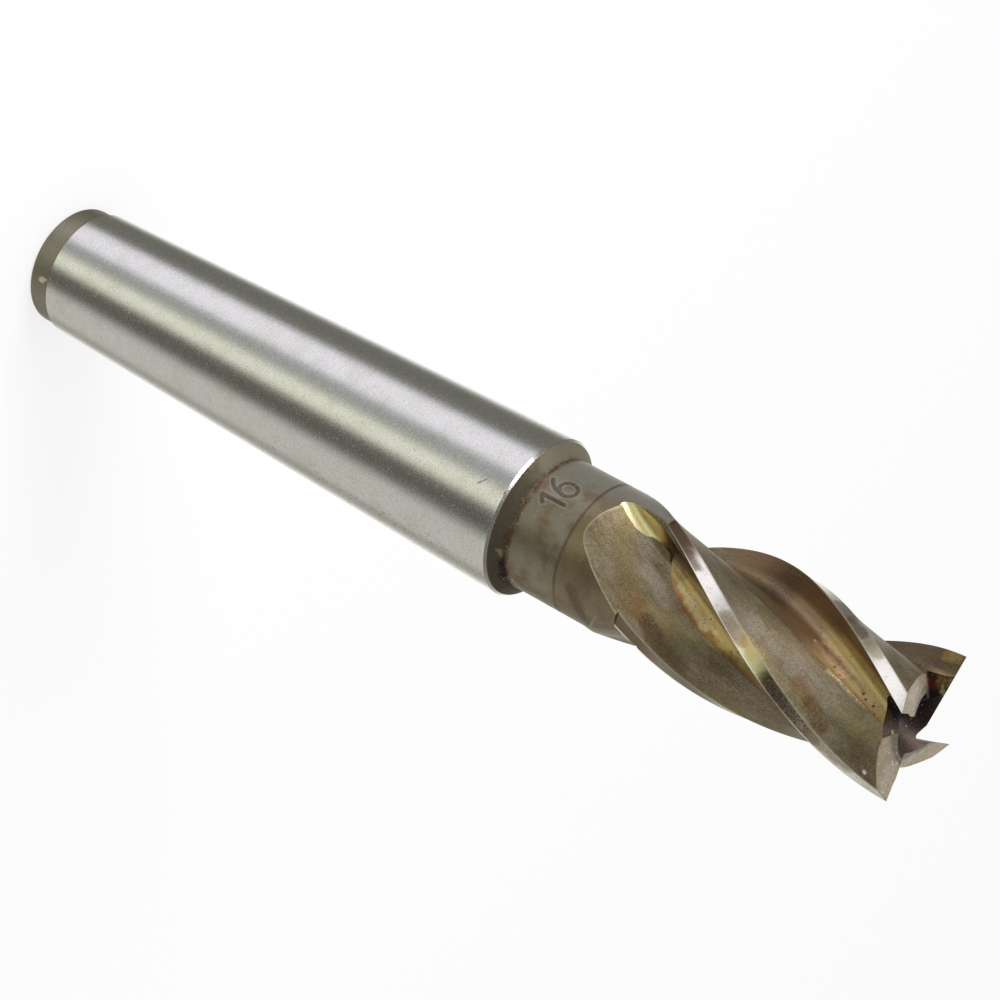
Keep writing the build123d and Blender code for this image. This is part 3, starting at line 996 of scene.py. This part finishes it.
def gash_finish():
    """Gashes and centre hole between the end teeth: nearly black as painted shade, lighter brown towards +x
    as painted light, with rust and gold on one face.
    """
    at = Surface("gash", soot_and_shade)
    grain = at.noise(3.4, 4.0)
    at.cover(temper_purple, at.noise(0.9, 4.0).step(0.42, 0.62))
    # Painted light: the gashes and the centre hole are lighter brown on their side towards +x, which faces
    # the light
    at.cover((0.15, 0.105, 0.078), at.x.step(0.4, 2.2) * 0.85)
    # The first stain darkens the shaded side of the centre further: painted shade
    at.stain([
        (soot_and_shade, 0.95, (-2.6, 1.4, 113.5), (-1.0, 3.2, 115.2), 1.6),
        ((0.2, 0.06, 0.03), 0.85, (-4.2, 1.2, 114.6), (-4.5, 1.1, 115.8), 0.7),
        ((0.42, 0.27, 0.1), 0.9, (-4.7, 0.9, 115.5), (-5.1, 0.6, 116.6), 0.55),
        ((0.78, 0.68, 0.36), 0.95, (-4.1, 0.9, 116.1), (-4.0, 0.8, 116.4), 0.33),
        ((0.18, 0.1, 0.04), 0.85, (0.6, -4.3, 114.4), (1.0, -4.2, 115.0), 0.5),
        ((0.6, 0.5, 0.3), 0.7, (1.9, -3.5, 115.6), (2.0, -3.5, 115.8), 0.25),
    ])
    at.shade(grain * 0.7 + 0.4)
    glints = at.noise(3.9, 2.0).step(0.68, 0.72)
    at.cover((0.65, 0.6, 0.5), glints * 0.5)
    at.finish(grain * 0.25 + 0.36, 0.75, grain + glints, 0.04, 0.8)


def bore_finish():
    """Thread and centre in the small end: dark with oil, brighter on its crests."""
    at = Surface("bore", (0.2, 0.18, 0.15))
    grain = at.noise(3.0, 4.0)
    at.cover(brown_oxide, at.noise(0.8).step(0.45, 0.65) * 0.7)
    at.cover((0.48, 0.46, 0.42), at.radius.step(4.5, 4.3) * 0.6)
    centre = at.radius.step(5.0, 5.3)
    at.cover((0.42, 0.4, 0.35), centre * 0.6)
    at.shade(grain * 0.6 + 0.68)
    at.finish(grain * 0.2 + 0.3, 0.88, grain, 0.02, 0.5)


def stamp_finish():
    """Inside of the stamped number and of the chips on the shoulder: nearly black, as painted shade in these
    hollows.
    """
    at = Surface("stamp", (0.02, 0.015, 0.011))
    grain = at.noise(5.0, 4.0)
    at.cover((0.05, 0.037, 0.026), grain.step(0.35, 0.65))
    at.finish(grain * 0.2 + 0.5, 0.3, grain, 0.02, 0.5)


def border_share(mesh, here, there, width):
    """For each corner of the mesh, 1 on the border between two finishes, and less up to a width from it."""
    owners = [set() for _ in mesh.vertices]
    for face in mesh.polygons:
        for corner in face.vertices:
            owners[corner].add(face.material_index)
    border = [index for index, owner in enumerate(owners) if REGION[here] in owner and owner & there]
    tree = KDTree(len(border))
    for place, index in enumerate(border):
        tree.insert(mesh.vertices[index].co, place)
    tree.balance()
    shares = np.zeros(len(mesh.vertices), np.float32)
    for index, owner in enumerate(owners):
        if REGION[here] in owner:
            shares[index] = max(0.0, 1.0 - tree.find(mesh.vertices[index].co)[2] / width)
    return shares


def mark_borders(mesh):
    """Keeps where the rims of the flutes and of their ground strips are, for the finishes."""
    rims = {
        "rim": ("flute", {REGION["dark_skin"], REGION["land"]}, 0.2 * MM),
        "stamp_rim": ("dark_skin", {REGION["stamp"]}, 0.17 * MM),
        "strip_border": ("gullet", {REGION["flute"]}, 0.7 * MM),
    }
    for name, (here, there, width) in rims.items():
        shares = border_share(mesh, here, there, width)
        mesh.attributes.new(name, "FLOAT", "POINT").data.foreach_set("value", shares)


mark_borders(steel.data)
for give_finish in (shank_finish, dark_skin_finish, flute_finish, gullet_finish, land_finish,
                    end_flank_finish, gash_finish, bore_finish, stamp_finish):
    give_finish()
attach(steel, "root")
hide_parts("end_mill")

# Floor: pale, and as bright as the white behind it where no shadow falls
floor_mesh = bpy.data.meshes.new("floor")
floor_mesh.from_pydata([(-2, -2, 0), (2, -2, 0), (2, 2, 0), (-2, 2, 0)], [], [(0, 1, 2, 3)])
floor = placed("floor", floor_mesh)
floor.visible_glossy = False
paper = bpy.data.materials.new("paper")
paper.use_nodes = True
floor_mesh.materials.append(paper)
paper_nodes = Nodes(paper.node_tree)
paper_seen = paper_nodes.add("LightPath", output="Is Camera Ray") * 0.72
paper_grey = paper_nodes.add("BsdfDiffuse", None, {"Color": (0.8, 0.8, 0.8, 1)})
paper_white = paper_nodes.add("Emission", None, {"Strength": 1.04})
paper_look = paper_nodes.add("MixShader", None, {0: paper_seen, 1: paper_grey, 2: paper_white})
paper.node_tree.links.new(paper_look.socket, paper.node_tree.nodes["Material Output"].inputs["Surface"])

# Light: plain and even on everything, and for the metal's reflections a ring of soft boxes and dark cards
front = math.radians(-88.9)
dark_card = 0.115


def ring_of_light(nodes):
    """What the metal mirrors, by the direction from the tool, with the camera's side at 0 degrees."""
    way = nodes.add("TexCoord", output="Generated")
    x, y, z = nodes.parts(way)
    ahead = x * math.cos(front) + y * math.sin(front)
    aside = y * math.cos(front) - x * math.sin(front)
    angle = aside.math("ARCTAN2", ahead) * (180 / math.pi)
    away = angle.math("ABSOLUTE")
    colour = (dark_card, dark_card, dark_card * 0.85)
    soft_boxes = [
        ((0.175, 0.175, 0.15), -150, -88, 9),
        ((1.0, 0.985, 1.06), -81, -35, 8),
        ((0.37, 0.38, 0.37), -35, -10, 4),
        ((0.92, 0.93, 0.8), -10, 18, 6),
        ((0.6, 0.59, 0.55), 58, 124, 10),
        ((0.38, 0.37, 0.32), 124, 148, 6),
    ]
    for light, low, high, soft in soft_boxes:
        colour = nodes.mix(colour, light, angle.between(low, high, soft))
    colour = nodes.mix(colour, (1.16, 1.17, 1.13), away.step(134, 166))
    colour = nodes.mix(colour, (0.13, 0.125, 0.11), z.step(0.05, 0.45) * away.step(150, 110) * 0.9)
    return nodes.mix(colour, (0.55, 0.54, 0.5), z.step(-0.75, -0.95))


world = bpy.data.worlds.new("studio")
bpy.context.scene.world = world
world.use_nodes = True
studio = Nodes(world.node_tree)
mirrored = studio.add("LightPath", output="Is Glossy Ray")
seen = studio.add("LightPath", output="Is Camera Ray")
sky = studio.mix((0.85, 0.85, 0.85), ring_of_light(studio), mirrored)
sky = studio.mix(sky, (1.0, 1.0, 1.0), seen)
studio.tree.links.new(sky.socket, studio.tree.nodes["Background"].inputs["Color"])

# One square lamp at the left, which faces the middle of the tool
lamp = bpy.data.lights.new("soft_box", "AREA")
lamp.size = 0.2
lamp.energy = 1.1
lamp_holder = placed("soft_box", lamp)
lamp_holder.location = (-0.25, -0.2, 0.4)
lamp_aim = Vector((0, 0, 0.06)) - lamp_holder.location
lamp_holder.rotation_euler = lamp_aim.to_track_quat("-Z", "Y").to_euler()

# Camera, fitted to the photograph
camera_place = Vector((5.597, -283.352, 218.802)) * MM
camera_aim = Vector((0.283, 0.0, 63.725)) * MM
camera_roll = math.radians(-118.600)
lens_length = 110.956
camera = bpy.data.cameras.new("camera")
camera.lens = lens_length
camera.sensor_width = 36
camera.clip_start = 0.01
camera.clip_end = 20
camera_holder = placed("camera", camera)
looking = (camera_aim - camera_place).to_track_quat("-Z", "Y").to_matrix()
rolled = looking @ Matrix.Rotation(-camera_roll, 3, "Z")
camera_holder.matrix_world = Matrix.Translation(camera_place) @ rolled.to_4x4()
bpy.context.scene.camera = camera_holder
bpy.context.scene.view_settings.view_transform = "Standard"
